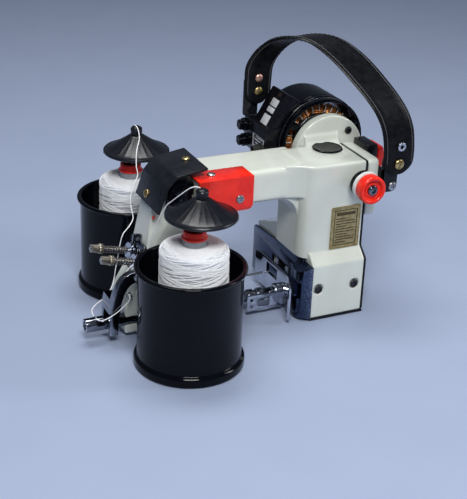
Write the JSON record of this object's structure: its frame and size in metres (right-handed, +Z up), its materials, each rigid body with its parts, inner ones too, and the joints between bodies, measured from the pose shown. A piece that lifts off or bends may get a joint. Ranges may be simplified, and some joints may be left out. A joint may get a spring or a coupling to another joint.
{
  "type": "portable bag closer sewing machine",
  "caption": "Portable electric sewing machine for closing sacks, with a C-shaped frame, thread pots, tension units, presser foot, motor and carrying strap.",
  "frame": {"origin": "centre of the bounding box footprint, at the level of the base plate and thread pot feet", "axes": "+X from the sewing head to the column, +Y from the hand wheel side to the motor side, +Z up"},
  "size_m": [0.3288, 0.2786, 0.2676],
  "materials": {
    "enamel": "gloss enamel on cast iron and aluminium",
    "black_paint": "satin black",
    "gloss_black": "gloss black",
    "red_paint": "red enamel",
    "chrome": "bright plated",
    "steel": "machined",
    "brass": "dull brass",
    "copper": "enamelled copper wire",
    "leather": "black, stitched",
    "thread": "wound cotton and polyester sewing thread"
  },
  "bodies": {
    "machine": {"frame_casting": "enamel", "column_side_plate": "black_paint", "end_cover": "enamel", "base_plate": "black_paint", "nameplate": "brass", "oil_plug": "gloss_black", "arm_cover": "red_paint", "arm_cover_screw_top": "chrome", "arm_cover_screw_front": "chrome", "head_leg": "enamel", "head_cover": "black_paint", "head_cover_screw": "brass", "head_bearing_block": "gloss_black", "throat_plate": "chrome", "base_screw": "steel", "front_thread_pot": "gloss_black", "front_spindle": "steel", "rear_thread_pot": "gloss_black", "rear_spindle": "steel", "tension_bracket": "steel", "rear_tension_post": "steel", "rear_tension_discs": "chrome", "rear_tension_spring": "steel", "front_tension_post": "steel", "front_tension_discs": "chrome", "front_tension_spring": "steel", "lifter_pivot_screw": "steel", "arm_bush": "brass", "motor_housing": "gloss_black", "stator_winding": "copper", "motor_front_bracket": "black_paint", "terminal_box": "black_paint", "brush_cap": "gloss_black", "cord_gland": "gloss_black", "carry_strap": "leather", "strap_bracket_front": "black_paint", "strap_screw_front": "brass", "strap_bracket_rear": "black_paint", "grip_switch": "black_paint", "front_thread": "thread", "rear_thread": "thread"},
    "rotor": {"motor_rotor": "steel"},
    "wheel_shaft": {"wheel_shaft": "steel", "hand_wheel": "red_paint"},
    "main_shaft": {"main_shaft": "steel"},
    "lower_shaft": {"lower_shaft": "steel"},
    "needle_rocker": {"needle_rocker": "steel"},
    "needle_bar": {"needle_bar": "steel"},
    "looper": {"looper": "steel"},
    "feed_dog": {"feed_dog": "steel"},
    "lifter_lever": {"lifter_lever": "chrome"},
    "presser": {"presser_bar": "chrome", "presser_foot": "chrome"},
    "front_spool": {"front_thread_cone": "thread", "front_hat": "gloss_black"},
    "rear_spool": {"rear_thread_cone": "thread", "rear_hat": "gloss_black"},
    "front_nut": {"front_tension_nut": "brass"},
    "rear_nut": {"rear_tension_nut": "brass"},
    "trigger": {"switch_trigger": "red_paint"}
  },
  "joints": [
    {"name": "motor_spin", "type": "hinge", "parent": "machine", "child": "rotor", "pos_m": [0.10895, 0, 0.155], "axis": [0, 1, 0], "continuous": true},
    {"name": "wheel_spin", "type": "hinge", "parent": "machine", "child": "wheel_shaft", "pos_m": [0.10895, 0, 0.1414], "axis": [0, 1, 0], "continuous": true},
    {"name": "main_spin", "type": "hinge", "parent": "machine", "child": "main_shaft", "pos_m": [0, -0.013, 0.1414], "axis": [1, 0, 0], "continuous": true},
    {"name": "lower_spin", "type": "hinge", "parent": "machine", "child": "lower_shaft", "pos_m": [0.08695, -0.013, 0.07], "axis": [0, 0, 1], "continuous": true},
    {"name": "needle_rock", "type": "hinge", "parent": "machine", "child": "needle_rocker", "pos_m": [-0.09105, 0.001, 0.085], "axis": [0, 1, 0], "range_deg": [-14, 14]},
    {"name": "needle_slide", "type": "slide", "parent": "machine", "child": "needle_bar", "axis": [1, 0, 0], "range_m": [-0.014, 0.014]},
    {"name": "looper_swing", "type": "hinge", "parent": "machine", "child": "looper", "pos_m": [0.07895, 0.001, 0.03], "axis": [0, 0, 1], "range_deg": [-6, 6]},
    {"name": "feed_slide", "type": "slide", "parent": "machine", "child": "feed_dog", "axis": [0, 1, 0], "range_m": [-0.003, 0.003]},
    {"name": "lifter_swing", "type": "hinge", "parent": "machine", "child": "lifter_lever", "pos_m": [-0.11505, -0.021, 0.0675], "axis": [0, 1, 0], "range_deg": [0, 8], "stiffness_Nm_per_rad": 4, "springref_deg": -8.59},
    {"name": "presser_slide", "type": "slide", "parent": "machine", "child": "presser", "axis": [1, 0, 0], "range_m": [-0.0075, 0]},
    {"name": "front_spool_turn", "type": "hinge", "parent": "machine", "child": "front_spool", "pos_m": [-0.07705, -0.087, 0.1], "axis": [0, 0, 1], "continuous": true},
    {"name": "rear_spool_turn", "type": "hinge", "parent": "machine", "child": "rear_spool", "pos_m": [-0.07305, 0.087, 0.1], "axis": [0, 0, 1], "continuous": true},
    {"name": "front_nut_turn", "type": "hinge", "parent": "machine", "child": "front_nut", "pos_m": [-0.10537, -0.015, 0.07307], "axis": [-0.9762, 0, 0.2169], "range_deg": [-180, 180]},
    {"name": "rear_nut_turn", "type": "hinge", "parent": "machine", "child": "rear_nut", "pos_m": [-0.10437, 0.002, 0.07756], "axis": [-0.9762, 0, 0.2169], "range_deg": [-180, 180]},
    {"name": "trigger_press", "type": "hinge", "parent": "machine", "child": "trigger", "pos_m": [0.14795, -0.011, 0.131], "axis": [0, 1, 0], "range_deg": [-5, 0], "stiffness_Nm_per_rad": 2}
  ],
  "couplings": [
    {"joint": "wheel_spin", "follows": "motor_spin", "ratio": -0.44565},
    {"joint": "main_spin", "follows": "motor_spin", "ratio": 0.44565},
    {"joint": "lower_spin", "follows": "motor_spin", "ratio": -0.44565},
    {"joint": "needle_slide", "follows": "needle_rock", "m_per_rad": -0.055},
    {"joint": "looper_swing", "follows": "needle_rock", "ratio": 0.35},
    {"joint": "feed_slide", "follows": "needle_rock", "m_per_rad": 0.012},
    {"joint": "presser_slide", "follows": "lifter_swing", "m_per_rad": -0.0495}
  ]
}
